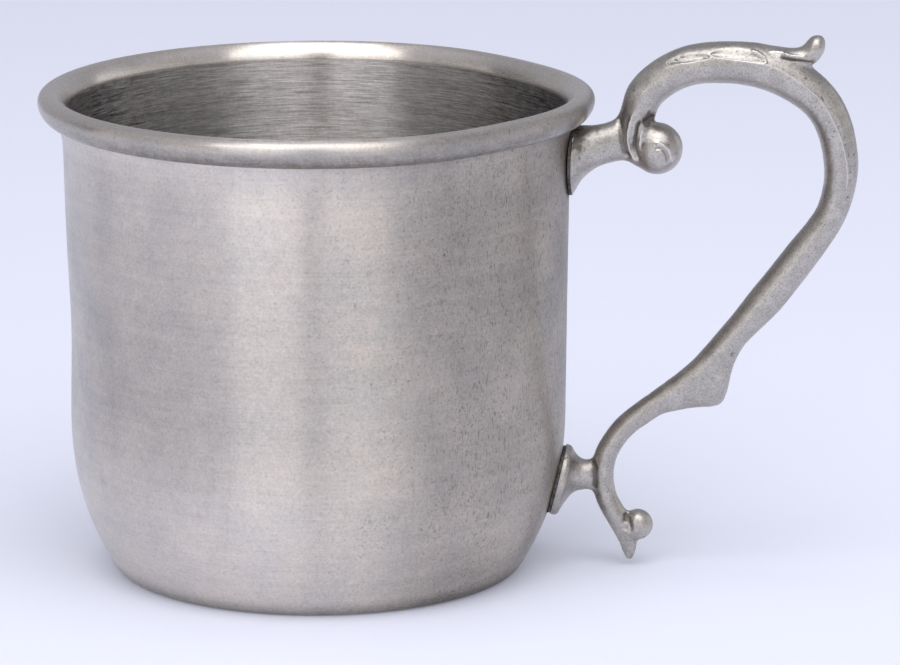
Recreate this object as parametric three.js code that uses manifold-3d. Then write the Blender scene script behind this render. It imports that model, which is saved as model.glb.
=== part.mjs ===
// A pewter baby cup: a spun body with a rolled rim, and a cast scroll handle soldered to its wall.
// Millimetres, +Z up. The origin is the centre of the flat underside, and the handle points along +X.

import * as THREE from 'three';
import { mergeVertices } from 'three/addons/utils/BufferGeometryUtils.js';
import Module from 'manifold-3d';

const wasm = await Module();
wasm.setup();

// Cup body, one sheet of even thickness
const RIM_RADIUS = 35;
const CUP_HEIGHT = 61.5;
const SHEET = 1.0;
const WALL_TAPER = 0.5;
const SHOULDER_HEIGHT = 21.4;
const SHOULDER_INSET = 5.8;
const SHOULDER_POWER = 2.4;

// Rolled rim: the top of the wall curls outwards and down into a hollow bead, open along its cut edge
const BEAD_WIDTH = 4.0;
const BEAD_HEIGHT = 3.8;
const CURL_TURN = 288;

// Solder layers between the wall and the two seats of the handle
const SOLDER_THICKNESS = 0.25;
const SOLDER_CLEARANCE = 0.2;

// Upper arm: its seat is an upright oval just under the bead
const ARM_SEAT_HALF_HEIGHT = 4.3;
const ARM_SEAT_HALF_WIDTH = 4.1;
const ARM_RIM_GAP = 0.3;

// Foot: a round pad on the shoulder of the cup, drawn in like a bell to a neck that meets the bar
const FOOT_HEIGHT = 11.2;
const FOOT_PAD_RADIUS = 4.55;
const FOOT_PAD_THICKNESS = 0.45;
const FOOT_NECK_RADIUS = 2.0;
const FOOT_NECK_OUT = 1.8;
const FOOT_NECK_RISE = 0.7;
const FOOT_JOINT_OUT = 4.2;

// The casting is drawn at this height from foot to arm, and stretches with the cup
const HANDLE_RISE = 41.8;

// The bar, from volute to drop tip: out from the wall, up from the foot, half depth, half width
const BAR = [
  [9.0, 44.4, 1.8, 2.4],
  [8.25, 47.0, 2.3, 2.5],
  [9.4, 50.2, 2.4, 2.7],
  [13.7, 53.25, 2.5, 3.0],
  [19.2, 54.1, 2.65, 3.2],
  [25.5, 53.1, 2.8, 3.1],
  [31.75, 48.45, 2.45, 2.75],
  [33.9, 41.2, 2.2, 2.5],
  [32.8, 35.2, 2.0, 2.3],
  [29.0, 29.4, 2.2, 2.25],
  [24.9, 24.0, 2.25, 2.2],
  [21.6, 20.1, 1.95, 2.1],
  [16.7, 14.4, 1.9, 1.95],
  [11.8, 10.55, 1.75, 1.8],
  [7.8, 7.75, 1.5, 1.7],
  [5.75, 5.4, 1.5, 1.7],
  [4.6, 3.1, 1.5, 1.7],
  [FOOT_JOINT_OUT, 0.6, 1.52, 1.75],
  [4.5, -1.4, 1.47, 1.72],
  [5.95, -4.45, 1.45, 1.65],
  [6.9, -6.4, 1.3, 1.45],
  [7.6, -8.2, 1.1, 1.15],
  [7.8, -10.5, 0.4, 0.4],
];

// The arm, from inside the wall into the volute: out, up from the arm's seat, tilt, half height, half width
const ARM = [
  [1.9, 1.0, 8, 3.2, 3.1],
  [3.3, 1.7, 8, 2.75, 2.7],
  [5.5, 2.4, 8, 2.75, 2.4],
  [8.4, 3.0, 0, 2.3, 2.1],
];

// The spur under the bar, from inside the bar to its blunt tip: out, up, half depth, half width
const SPUR_TILT = -45;
const SPUR = [
  [17.35, 14.1, 7.0, 1.3],
  [17.6, 13.2, 5.9, 1.6],
  [17.65, 12.3, 4.35, 1.75],
  [18.0, 11.85, 3.35, 1.8],
  [18.4, 11.35, 2.45, 1.65],
  [18.8, 10.9, 1.6, 1.35],
  [19.05, 10.5, 0.95, 0.95],
  [19.2, 10.3, 0.3, 0.4],
];

// The petal along the top of the bar, up to the thumb rest: out, up, half depth, half width
const PETAL_TILT = 0;
const PETAL = [
  [19.0, 55.4, 0.6, 1.2],
  [23.0, 55.6, 1.0, 1.9],
  [27.0, 55.0, 1.1, 2.1],
  [29.8, 55.0, 1.1, 1.9],
];

// Round ends of the casting: out, up, half length, half depth, half width, tilt
const VOLUTE = { out: 10.8, up: 43.1, length: 3.3, depth: 3.3, width: 3.3, tilt: 0 };
const COLLAR = { out: 8.9, up: 42.4, length: 2.0, depth: 2.0, width: 2.3, tilt: 0 };
const BALL = { out: 8.75, up: -5.8, length: 2.0, depth: 2.0, width: 2.0, tilt: 0 };
const THUMB_REST = { out: 30.3, up: 55.7, length: 2.2, depth: 1.1, width: 1.9, tilt: 60 };

// Finishes
const SPUN_PEWTER = { color: 0xb9b3b1, roughness: 0.38 };
const CAST_PEWTER = { color: 0xa39c99, roughness: 0.42 };
const SOLDER = { color: 0x8f8a88, roughness: 0.5 };

// Facets
const LATHE_SEGMENTS = 52;
const SHOULDER_STEPS = 8;
const CURL_STEPS = 16;
const BAR_STEPS = 3;
const BELL_STEPS = 4;
const LOFT_SIDES = 14;
const ROUND_SIDES = 16;

// Sizes that follow from the ones above
const WALL_TOP_RADIUS = RIM_RADIUS - BEAD_WIDTH + SHEET;
const WALL_LOW_RADIUS = WALL_TOP_RADIUS - WALL_TAPER;
const BEAD_MIDDLE = CUP_HEIGHT - BEAD_HEIGHT / 2;
const HOLLOW_HALF_WIDTH = BEAD_WIDTH / 2 - SHEET;
const HOLLOW_HALF_HEIGHT = BEAD_HEIGHT / 2 - SHEET;
const BEAD_RADIUS = RIM_RADIUS - BEAD_WIDTH / 2;
const SEAT_OFFSET = SOLDER_THICKNESS + 2 * SOLDER_CLEARANCE;
const SOLDER_REACH = FOOT_PAD_RADIUS / 2;
const ARM_HEIGHT = CUP_HEIGHT - BEAD_HEIGHT - ARM_RIM_GAP - ARM_SEAT_HALF_HEIGHT;
const RISE_STRETCH = (ARM_HEIGHT - FOOT_HEIGHT) / HANDLE_RISE;
const FULL_TURN = 2 * Math.PI;
const { degToRad: radians, lerp } = THREE.MathUtils;

// Outside radius of the wall: straight above the shoulder, turned in along a power curve below it
function wallRadius(height) {
  if (height >= SHOULDER_HEIGHT) {
    const rise = (height - SHOULDER_HEIGHT) / (BEAD_MIDDLE - SHOULDER_HEIGHT);
    return WALL_LOW_RADIUS + WALL_TAPER * rise;
  }
  const drop = (SHOULDER_HEIGHT - height) / SHOULDER_HEIGHT;
  return WALL_LOW_RADIUS - SHOULDER_INSET * drop ** SHOULDER_POWER;
}

// Angle by which the wall leans outwards as it rises
function wallLean(height) {
  const step = SHEET / 2;
  return Math.atan2(wallRadius(height + step) - wallRadius(height - step), 2 * step);
}

// The outside of the wall as (radius, height) points, from the underside up to a given height
function wallOutline(top) {
  const points = [];
  for (let i = 0; i <= SHOULDER_STEPS; i += 1) {
    const height = (SHOULDER_HEIGHT * i) / SHOULDER_STEPS;
    points.push(new THREE.Vector2(wallRadius(height), height));
  }
  points.push(new THREE.Vector2(wallRadius(top), top));
  return points;
}

// One face of the rolled bead, from its inner side over the top and round to the cut edge
function curlOutline(halfWidth, halfHeight) {
  const points = [];
  for (let i = 0; i <= CURL_STEPS; i += 1) {
    const angle = Math.PI - radians((CURL_TURN * i) / CURL_STEPS);
    const radius = BEAD_RADIUS + halfWidth * Math.cos(angle);
    points.push(new THREE.Vector2(radius, BEAD_MIDDLE + halfHeight * Math.sin(angle)));
  }
  return points;
}

// Moves an open outline sideways to its left, with mitred corners
function offsetOutline(points, distance) {
  const normals = points.slice(1).map((point, i) => {
    const along = point.clone().sub(points[i]).normalize();
    return new THREE.Vector2(-along.y, along.x);
  });
  return points.map((point, i) => {
    const before = normals[Math.max(i - 1, 0)];
    const after = normals[Math.min(i, normals.length - 1)];
    const mitre = before.clone().add(after).multiplyScalar(distance / (1 + before.dot(after)));
    return point.clone().add(mitre);
  });
}

// Turns a profile of (radius, height) points about the Z axis
function turned(points) {
  return new THREE.LatheGeometry(points, LATHE_SEGMENTS).rotateX(Math.PI / 2);
}

// A ring in a plane that holds the Y axis: place, tilt of its axis in the XZ plane, half height, half width
function ring(x, z, tilt, half, width) {
  return { x, z, tilt, half, width };
}

// A closed tube through oval rings
function loft(rings) {
  const positions = [];
  const index = [];
  for (const { x, z, tilt, half, width } of rings) {
    for (let k = 0; k < LOFT_SIDES; k += 1) {
      const angle = (FULL_TURN * k) / LOFT_SIDES;
      const across = half * Math.cos(angle);
      positions.push(x - across * Math.sin(tilt), width * Math.sin(angle), z + across * Math.cos(tilt));
    }
  }
  for (let i = 0; i + 1 < rings.length; i += 1) {
    for (let k = 0; k < LOFT_SIDES; k += 1) {
      const a = i * LOFT_SIDES + k;
      const b = i * LOFT_SIDES + ((k + 1) % LOFT_SIDES);
      index.push(a, a + LOFT_SIDES, b, b, a + LOFT_SIDES, b + LOFT_SIDES);
    }
  }
  const last = (rings.length - 1) * LOFT_SIDES;
  for (let k = 1; k + 1 < LOFT_SIDES; k += 1) {
    index.push(0, k, k + 1, last, last + k + 1, last + k);
  }
  const geometry = new THREE.BufferGeometry();
  geometry.setAttribute('position', new THREE.Float32BufferAttribute(positions, 3));
  return geometry.setIndex(index);
}

// A closed geometry as a solid for joining and cutting
function solid(geometry) {
  const bare = geometry.clone();
  bare.deleteAttribute('normal');
  bare.deleteAttribute('uv');
  const merged = mergeVertices(bare);
  const vertProperties = new Float32Array(merged.getAttribute('position').array);
  const triVerts = new Uint32Array(merged.getIndex().array);
  return new wasm.Manifold(new wasm.Mesh({ numProp: 3, vertProperties, triVerts }));
}

function geometryOf(body) {
  const { vertProperties, triVerts } = body.getMesh();
  const geometry = new THREE.BufferGeometry();
  geometry.setAttribute('position', new THREE.Float32BufferAttribute(vertProperties, 3));
  geometry.setIndex(new THREE.Uint32BufferAttribute(triVerts, 1));
  return geometry;
}

// The space inside the wall's outer face, grown outwards, for shaping what seats on it
function wallPlug(growth) {
  const outline = offsetOutline(wallOutline(CUP_HEIGHT), -growth);
  const bottom = new THREE.Vector2(0, outline[0].y);
  const top = new THREE.Vector2(0, outline[outline.length - 1].y);
  return solid(turned([bottom, ...outline, top]));
}

// Heights drawn above the foot stretch with the cup; the curl below it keeps its shape
function handleHeight(up) {
  return FOOT_HEIGHT + (up > 0 ? up * RISE_STRETCH : up);
}

function barSolid() {
  const centres = BAR.map(([out, up]) => new THREE.Vector3(WALL_TOP_RADIUS + out, 0, handleHeight(up)));
  const sections = BAR.map(([, , half, width]) => new THREE.Vector3(half, width, 0));
  const route = new THREE.CatmullRomCurve3(centres);
  const section = new THREE.CatmullRomCurve3(sections);
  const steps = (BAR.length - 1) * BAR_STEPS;
  const rings = [];
  for (let i = 0; i <= steps; i += 1) {
    const place = route.getPoint(i / steps);
    const along = route.getTangent(i / steps);
    const size = section.getPoint(i / steps);
    rings.push(ring(place.x, place.z, Math.atan2(along.z, along.x), size.x, size.y));
  }
  return solid(loft(rings));
}

// The arm's seat, at a distance out from the wall
function armSeatRing(out) {
  return ring(WALL_TOP_RADIUS + out, ARM_HEIGHT, 0, ARM_SEAT_HALF_HEIGHT, ARM_SEAT_HALF_WIDTH);
}

// The foot pad, square to the leaning shoulder, at a distance out from the wall
function footPadRing(out) {
  const lean = wallLean(FOOT_HEIGHT);
  const x = wallRadius(FOOT_HEIGHT) + out * Math.cos(lean);
  const z = FOOT_HEIGHT - out * Math.sin(lean);
  return ring(x, z, -lean, FOOT_PAD_RADIUS, FOOT_PAD_RADIUS);
}

// Arm and foot start inside the wall, and are cut to its curve afterwards
function armSolid() {
  const rings = ARM.map(([out, up, tilt, half, width]) =>
    ring(WALL_TOP_RADIUS + out, ARM_HEIGHT + up, radians(tilt), half, width));
  return solid(loft([armSeatRing(-SEAT_OFFSET), armSeatRing(SEAT_OFFSET), ...rings]));
}

function footSolid() {
  const padTop = footPadRing(SEAT_OFFSET + FOOT_PAD_THICKNESS);
  const neckX = WALL_TOP_RADIUS + FOOT_NECK_OUT;
  const neckZ = FOOT_HEIGHT + FOOT_NECK_RISE;
  const bell = [];
  for (let i = 1; i <= BELL_STEPS; i += 1) {
    const t = i / BELL_STEPS;
    const radius = FOOT_NECK_RADIUS + (FOOT_PAD_RADIUS - FOOT_NECK_RADIUS) * (1 - t) ** 2;
    const tilt = lerp(padTop.tilt, 0, t);
    bell.push(ring(lerp(padTop.x, neckX, t), lerp(padTop.z, neckZ, t), tilt, radius, radius));
  }
  const joint = ring(WALL_TOP_RADIUS + FOOT_JOINT_OUT, neckZ, 0, FOOT_NECK_RADIUS, FOOT_NECK_RADIUS);
  return solid(loft([footPadRing(-SEAT_OFFSET), padTop, ...bell, joint]));
}

// A straight-axed feature of the casting: the spur or the petal
function featureSolid(stations, tilt) {
  const rings = stations.map(([out, up, half, width]) =>
    ring(WALL_TOP_RADIUS + out, handleHeight(up), radians(tilt), half, width));
  return solid(loft(rings));
}

function roundSolid({ out, up, length, depth, width, tilt }) {
  const geometry = new THREE.SphereGeometry(1, ROUND_SIDES, ROUND_SIDES / 2);
  geometry.scale(length, width, depth);
  geometry.rotateY(-radians(tilt));
  geometry.translate(WALL_TOP_RADIUS + out, 0, handleHeight(up));
  return solid(geometry);
}

function bodyGeometry() {
  const bottomCentre = new THREE.Vector2(0, 0);
  const outside = [bottomCentre, ...wallOutline(BEAD_MIDDLE)];
  const inside = offsetOutline(outside, SHEET);
  const hollow = curlOutline(HOLLOW_HALF_WIDTH, HOLLOW_HALF_HEIGHT);
  const bead = curlOutline(BEAD_WIDTH / 2, BEAD_HEIGHT / 2);
  const sheet = [outside.slice(0, -1), hollow, bead.reverse(), inside.slice(0, -1).reverse()];
  return turned(sheet.flat());
}

function handleGeometry() {
  const features = [featureSolid(SPUR, SPUR_TILT), featureSolid(PETAL, PETAL_TILT)];
  const rounds = [VOLUTE, COLLAR, BALL, THUMB_REST].map(roundSolid);
  const casting = [armSolid(), footSolid(), ...features, ...rounds];
  const joined = casting.reduce((whole, piece) => whole.add(piece), barSolid());
  return geometryOf(joined.subtract(wallPlug(SEAT_OFFSET)));
}

// A solder layer fills a seat's outline, between the wall and the casting. The outline is carried in and out
// of the wall by more than the wall curves away across it, and is then cut to the wall's two offsets.
function solderGeometry(seatRing) {
  const prism = loft([seatRing(-SOLDER_REACH), seatRing(SOLDER_REACH)]);
  const outerFace = wallPlug(SOLDER_CLEARANCE + SOLDER_THICKNESS);
  const innerFace = wallPlug(SOLDER_CLEARANCE);
  return geometryOf(solid(prism).intersect(outerFace).subtract(innerFace));
}

const cup = new THREE.Group();

function addPiece(name, geometry, finish) {
  const mesh = new THREE.Mesh(geometry, new THREE.MeshStandardMaterial({ ...finish, metalness: 1 }));
  mesh.name = name;
  cup.add(mesh);
}

addPiece('cup_body', bodyGeometry(), SPUN_PEWTER);
addPiece('handle', handleGeometry(), CAST_PEWTER);
addPiece('upper_solder', solderGeometry(armSeatRing), SOLDER);
addPiece('lower_solder', solderGeometry(footPadRing), SOLDER);

export default cup;
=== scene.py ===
# %% [markdown]
# # A pewter baby cup
# The real cup is two pieces of pewter: a body spun from one disc of sheet, and a cast scroll handle that is
# soldered to its wall in two places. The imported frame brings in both, and the two seams of solder, at their
# true size. This lesson replaces each of them with a finer mesh at the same place, and gives each its own
# finish. Sizes are worked out in millimetres, because that is how a maker reads them, and the last step of
# every piece scales it down to Blender's metres.

# %% The frame
import math

import bmesh
import bpy
import numpy as np
from mathutils import Matrix, Vector, geometry, noise


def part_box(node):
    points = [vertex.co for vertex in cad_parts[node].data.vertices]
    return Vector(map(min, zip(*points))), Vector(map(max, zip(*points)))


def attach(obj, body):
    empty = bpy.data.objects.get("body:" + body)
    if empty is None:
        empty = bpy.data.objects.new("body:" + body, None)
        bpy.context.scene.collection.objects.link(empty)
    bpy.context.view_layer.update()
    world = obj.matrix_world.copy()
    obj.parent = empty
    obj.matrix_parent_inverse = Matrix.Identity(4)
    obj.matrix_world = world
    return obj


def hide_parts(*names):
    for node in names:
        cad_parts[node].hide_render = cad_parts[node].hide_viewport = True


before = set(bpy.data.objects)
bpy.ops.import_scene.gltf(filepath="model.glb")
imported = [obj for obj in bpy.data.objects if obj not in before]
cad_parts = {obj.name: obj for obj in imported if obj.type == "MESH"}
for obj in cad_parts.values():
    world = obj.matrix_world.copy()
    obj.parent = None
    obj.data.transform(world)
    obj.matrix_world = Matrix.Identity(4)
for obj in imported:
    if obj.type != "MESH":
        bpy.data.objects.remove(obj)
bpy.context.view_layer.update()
MM = 0.001

# %% [markdown]
# ## Camera
# The photograph looks down on the cup by about 13 degrees, from far enough away that the rim is a flat
# ellipse. A long lens at 0.7 m gives that. The handle points to the right and is turned 3 degrees towards
# the camera, so the camera goes round the cup by that much and the cup itself stays square to its own axes.

# %% Camera
CAMERA_TARGET = Vector((16.4, 7.6, 28.4)) * MM
CAMERA_DISTANCE = 0.7
CAMERA_PITCH = math.radians(13.4)
CAMERA_TURN = math.radians(3.0)
LENS = 218.4
SENSOR_WIDTH = 36.0
NEAREST = 0.01

camera = bpy.data.objects.new("camera", bpy.data.cameras.new("camera"))
camera.rotation_euler = (math.pi / 2 - CAMERA_PITCH, 0.0, CAMERA_TURN)
camera.location = CAMERA_TARGET + camera.rotation_euler.to_matrix() @ Vector((0.0, 0.0, CAMERA_DISTANCE))
camera.data.lens = LENS
camera.data.sensor_width = SENSOR_WIDTH
camera.data.clip_start = NEAREST
bpy.context.collection.objects.link(camera)
bpy.context.scene.camera = camera
bpy.context.scene.view_settings.view_transform = "Standard"
print("camera at", [round(value, 3) for value in camera.location])


# %% [markdown]
# ## Nodes
# Every finish below is a small tree of nodes. A few helpers keep the trees short: one adds a node and fills
# or links its inputs, and the others do sums, spread a value over a range and mix two colours.

# %% Node helpers
def add_node(tree, kind, inputs=None, **settings):
    """Adds a shader node, with its settings, and fills or links the inputs that are named."""
    made = tree.nodes.new("ShaderNode" + kind)
    for name, value in settings.items():
        setattr(made, name, value)
    for socket, value in (inputs or {}).items():
        if isinstance(value, bpy.types.NodeSocket):
            tree.links.new(value, made.inputs[socket])
        else:
            made.inputs[socket].default_value = value
    return made


def maths(tree, operation, first, second=0.0):
    """One operation on two numbers or sockets."""
    return add_node(tree, "Math", {0: first, 1: second}, operation=operation).outputs[0]


def times(tree, first, second):
    """The product of two numbers or sockets."""
    return maths(tree, "MULTIPLY", first, second)


def plus(tree, first, second):
    """The sum of two numbers or sockets."""
    return maths(tree, "ADD", first, second)


def minus(tree, first, second):
    """The first of two numbers or sockets less the second."""
    return maths(tree, "SUBTRACT", first, second)


def spread(tree, value, low, high, to_low=0.0, to_high=1.0):
    """Spreads the part of a value between low and high over a new range, with soft ends."""
    inputs = {"Value": value, "From Min": low, "From Max": high, "To Min": to_low, "To Max": to_high}
    return add_node(tree, "MapRange", inputs, interpolation_type="SMOOTHSTEP").outputs["Result"]


def tint(tree, factor, first, second, blend="MIX"):
    """Mixes two colours by a factor."""
    mixed = add_node(tree, "Mix", {0: factor, 6: first, 7: second}, data_type="RGBA", blend_type=blend)
    return mixed.outputs[2]


def new_finish(name):
    """A material with its default shader, and its tree."""
    finish = bpy.data.materials.new(name)
    finish.use_nodes = True
    shader = finish.node_tree.nodes["Principled BSDF"]
    return finish, finish.node_tree, shader


print("node helpers ready")

# %% [markdown]
# ## Floor and light
# The cup stands on a pale, faintly blue sheet that fills the whole picture. Satin metal shows its
# surroundings, so the lamps are drawn as large soft boxes. A pair high in front and one overhead light the
# far rim and the inside. A row of low ones goes round the front, from far left to far right, with the two
# brightest beside the camera and a gap between them that the wall shows as a dark upright band. Behind the
# cup the surroundings are plain grey. A lamp's power follows from how bright its face is and from its area.

# %% Floor
FLOOR_SIZE = 6.0
FLOOR_CELLS = 8
FLOOR_ROUGHNESS = 0.7
FLOOR_COLOUR = (0.80, 0.825, 0.945, 1.0)
FLOOR_GLOW = 0.12

floor_mesh = bmesh.new()
bmesh.ops.create_grid(floor_mesh, x_segments=FLOOR_CELLS, y_segments=FLOOR_CELLS, size=FLOOR_SIZE / 2)
floor = bpy.data.objects.new("floor", bpy.data.meshes.new("floor"))
floor_mesh.to_mesh(floor.data)
floor_mesh.free()
bpy.context.collection.objects.link(floor)

paper, paper_tree, paper_shader = new_finish("pale sheet")
paper_shader.inputs["Base Color"].default_value = FLOOR_COLOUR
paper_shader.inputs["Roughness"].default_value = FLOOR_ROUGHNESS
paper_shader.inputs["Emission Color"].default_value = FLOOR_COLOUR
rays = add_node(paper_tree, "LightPath").outputs
seen = maths(paper_tree, "MAXIMUM", rays["Is Camera Ray"], rays["Is Glossy Ray"])
seen = maths(paper_tree, "MAXIMUM", seen, rays["Is Transmission Ray"])
seen_glow = times(paper_tree, seen, FLOOR_GLOW)
paper_tree.links.new(seen_glow, paper_shader.inputs["Emission Strength"])
floor.data.materials.append(paper)
print("floor", FLOOR_SIZE, "m wide")

# %% Surroundings
SKY_LOW = (0.10, 0.10, 0.11, 1.0)
SKY_HIGH = (0.58, 0.58, 0.63, 1.0)
SKY_RISE = (0.25, 0.75)
BACKDROP = (0.40, 0.41, 0.46, 1.0)
BACKDROP_RISE = (0.1, 0.6)

world = bpy.data.worlds.new("studio")
bpy.context.scene.world = world
world.use_nodes = True
sky = world.node_tree
direction = add_node(sky, "TexCoord").outputs["Generated"]
direction_parts = add_node(sky, "SeparateXYZ", {0: direction}).outputs
sky_colour = tint(sky, spread(sky, direction_parts["Z"], *SKY_RISE), SKY_LOW, SKY_HIGH)
sky_colour = tint(sky, spread(sky, direction_parts["Y"], *BACKDROP_RISE), sky_colour, BACKDROP)
sky.links.new(sky_colour, sky.nodes["Background"].inputs["Color"])
print("surroundings rise from", SKY_LOW[0], "to", SKY_HIGH[0])

# %% Soft boxes
SOFT_BOXES = {
    "far left box": {"turn": -80, "rise": 14, "away": 1.0, "size": (0.75, 0.5), "glow": 0.35},
    "middle left box": {"turn": -49, "rise": 13, "away": 1.0, "size": (0.35, 0.48), "glow": 0.45},
    "left box": {"turn": -21, "rise": 12, "away": 1.0, "size": (0.58, 0.45), "glow": 1.05},
    "right box": {"turn": 18, "rise": 12, "away": 1.0, "size": (0.5, 0.45), "glow": 0.88},
    "middle right box": {"turn": 47, "rise": 13, "away": 1.0, "size": (0.5, 0.48), "glow": 0.45},
    "far right box": {"turn": 96, "rise": 14, "away": 1.0, "size": (1.2, 0.5), "glow": 0.45},
    "front left box": {"turn": -29, "rise": 54, "away": 1.0, "size": (0.56, 0.8), "glow": 1.18},
    "front right box": {"turn": 29, "rise": 54, "away": 1.0, "size": (0.56, 0.8), "glow": 1.18},
    "top box": {"turn": 0, "rise": 86, "away": 0.9, "size": (0.45, 0.45), "glow": 1.8},
}
CUP_MIDDLE = Vector((0.0, 0.0, 30.0)) * MM
TOWARDS_CAMERA = math.radians(-87)
POWER_PER_GLOW = 4

for name, box in SOFT_BOXES.items():
    turn = TOWARDS_CAMERA + math.radians(box["turn"])
    rise = math.radians(box["rise"])
    outward = Vector((math.cos(turn) * math.cos(rise), math.sin(turn) * math.cos(rise), math.sin(rise)))
    lamp = bpy.data.lights.new(name, "AREA")
    lamp.shape = "RECTANGLE"
    lamp.size, lamp.size_y = box["size"]
    lamp.energy = POWER_PER_GLOW * lamp.size * lamp.size_y * box["glow"]
    holder = bpy.data.objects.new(name, lamp)
    holder.location = CUP_MIDDLE + outward * box["away"]
    holder.rotation_euler = outward.to_track_quat("Z", "Y").to_euler()
    bpy.context.collection.objects.link(holder)
    print(name, round(lamp.energy, 2), "W")

# %% [markdown]
# ## The spun body
# A spinner presses a turning disc of sheet over a wooden form, so the body is one closed outline turned
# about the cup's axis: a flat floor, a rounded shoulder, a nearly straight wall that flares a little at its
# top, and a rim that curls outwards and down into a hollow bead, with a sloped lip on its inner side. The
# inside widens slowly towards the lip. The outline is drawn once, outside first and then back along the
# inside, and bmesh's spin turns it. Each point also keeps how far along the sheet it lies and which part of
# the cup it belongs to, because the finish needs both.

# %% Sizes of the body
body_low, body_high = (Vector(corner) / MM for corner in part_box("cup_body"))
RIM_RADIUS = body_high.x
CUP_HEIGHT = body_high.z
SHEET = 1.0
OVERHANG = 3.0
BEAD_HALF_WIDTH = 2.0
EDGE_HEIGHT = 1.3
EDGE_ROUNDNESS = 2.6
FACE_HEIGHT = 2.2
FACE_ROUNDNESS = 1.8
LIP_WIDTH = 1.6
LIP_HEIGHT = 2.0
LIP_ROUNDNESS = 1.5
HOLLOW_HALF_WIDTH = 0.8
HOLLOW_HALF_HEIGHT = 0.9
HOLLOW_LIFT = 0.3
CURL_TURN = math.radians(262)
FLARE = 0.6
FLARE_HEIGHT = 3.7
WIDENING_START = 20.0
SHOULDER_HEIGHT = 21.4
SHOULDER_INSET = 5.8
SHOULDER_POWER = 2.4
WALL_TAPER = 0.5
CORNER = 1.2

BEAD_RADIUS = RIM_RADIUS - BEAD_HALF_WIDTH
WIDEST_HEIGHT = CUP_HEIGHT - EDGE_HEIGHT
BEAD_BOTTOM = WIDEST_HEIGHT - FACE_HEIGHT
LIP_END = CUP_HEIGHT - LIP_HEIGHT
WALL_TOP_RADIUS = RIM_RADIUS - OVERHANG
INSIDE_WIDENING = BEAD_RADIUS - LIP_WIDTH - WALL_TOP_RADIUS + SHEET
HOLLOW_RADIUS = WALL_TOP_RADIUS + FLARE + HOLLOW_HALF_WIDTH
HOLLOW_MIDDLE = BEAD_BOTTOM + HOLLOW_HALF_HEIGHT + HOLLOW_LIFT
SHOULDER_RADIUS = WALL_TOP_RADIUS - WALL_TAPER
print("rim", round(RIM_RADIUS, 2), "mm in radius, cup", round(CUP_HEIGHT, 2), "mm high")


# %% Outline of the sheet
CORNER_PULL = 0.25
CORNER_STEPS = 9
BASE_GAP = 0.5
BASE_STEPS = 22
WALL_STEPS = 96
LIP_GAP = 0.2


def soft_step(value, low, high):
    """0 below low, 1 above high, and a smooth rise between them."""
    part = np.clip((value - low) / (high - low), 0.0, 1.0)
    return part * part * (3 - 2 * part)


def flare_at(z):
    """How far the wall has leaned outwards at a height, on its way to the bead."""
    return FLARE * min(max((z - BEAD_BOTTOM) / FLARE_HEIGHT + 1, 0.0), 1.0) ** 2


def wall_radius(z):
    """Outside radius of the wall at a height, with its shoulder below and its flare under the bead."""
    if z < SHOULDER_HEIGHT:
        return SHOULDER_RADIUS - SHOULDER_INSET * ((SHOULDER_HEIGHT - z) / SHOULDER_HEIGHT) ** SHOULDER_POWER
    taper = WALL_TAPER * (z - SHOULDER_HEIGHT) / (HOLLOW_MIDDLE - SHOULDER_HEIGHT)
    return SHOULDER_RADIUS + taper + flare_at(z)


def corner_points():
    """The rounded edge between the flat base and the shoulder."""
    base = Vector((wall_radius(0) - CORNER, 0, 0))
    edge = Vector((wall_radius(0) - CORNER_PULL, 0, 0))
    side = Vector((wall_radius(CORNER), 0, CORNER))
    lean = Vector((wall_radius(CORNER_PULL), 0, CORNER_PULL))
    return geometry.interpolate_bezier(base, edge, lean, side, CORNER_STEPS)


def outer_points():
    """The outside of the sheet, from the middle of the base up to the hollow of the bead."""
    base_end = wall_radius(0) - CORNER - BASE_GAP
    points = [Vector((reach, 0, 0)) for reach in np.linspace(0, base_end, BASE_STEPS)]
    points += corner_points()
    heights = np.linspace(CORNER, HOLLOW_MIDDLE, WALL_STEPS)[1:]
    points += [Vector((wall_radius(z), 0, z)) for z in heights]
    return points


def inner_points(points):
    """The inside of the sheet: the outside moved in by its thickness, but widening slowly to the lip."""
    plain = [point - Vector((flare_at(point.z), 0, 0)) for point in points]
    moved = []
    for number, point in enumerate(plain):
        ahead = plain[min(number + 1, len(plain) - 1)] - plain[max(number - 1, 0)]
        left = Vector((-ahead.z, 0, ahead.x)).normalized()
        widening = INSIDE_WIDENING * soft_step(point.z, WIDENING_START, LIP_END)
        moved.append(point + left * SHEET + Vector((widening, 0, 0)))
    moved[0].x = 0.0
    return [point for point in moved if point.z < LIP_END - LIP_GAP]


def hollow_points(count):
    """The inside of the bead, an oval from the top of the wall over and back under."""
    points = []
    for turn in np.linspace(math.pi, math.pi - CURL_TURN, count):
        across = HOLLOW_HALF_WIDTH * math.cos(turn)
        rise = HOLLOW_HALF_HEIGHT * math.sin(turn)
        points.append(Vector((HOLLOW_RADIUS + across, 0, HOLLOW_MIDDLE + rise)))
    return points


def bead_points(count):
    """The outside of the bead: up the sloped lip, over the tight top edge, down the face and under."""
    lip = (LIP_WIDTH, LIP_HEIGHT, LIP_ROUNDNESS, LIP_END)
    edge = (BEAD_HALF_WIDTH, EDGE_HEIGHT, EDGE_ROUNDNESS, WIDEST_HEIGHT)
    face = (BEAD_HALF_WIDTH, FACE_HEIGHT, FACE_ROUNDNESS, WIDEST_HEIGHT)
    points = []
    for turn in np.linspace(math.pi, math.pi - CURL_TURN, count):
        stretch = lip if turn > math.pi / 2 else edge if turn > 0 else face
        half_width, half_height, roundness, middle = stretch
        across = math.copysign(abs(math.cos(turn)) ** (2 / roundness), math.cos(turn))
        rise = math.copysign(abs(math.sin(turn)) ** (2 / roundness), math.sin(turn))
        points.append(Vector((BEAD_RADIUS + half_width * across, 0, middle + half_height * rise)))
    return points


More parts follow.
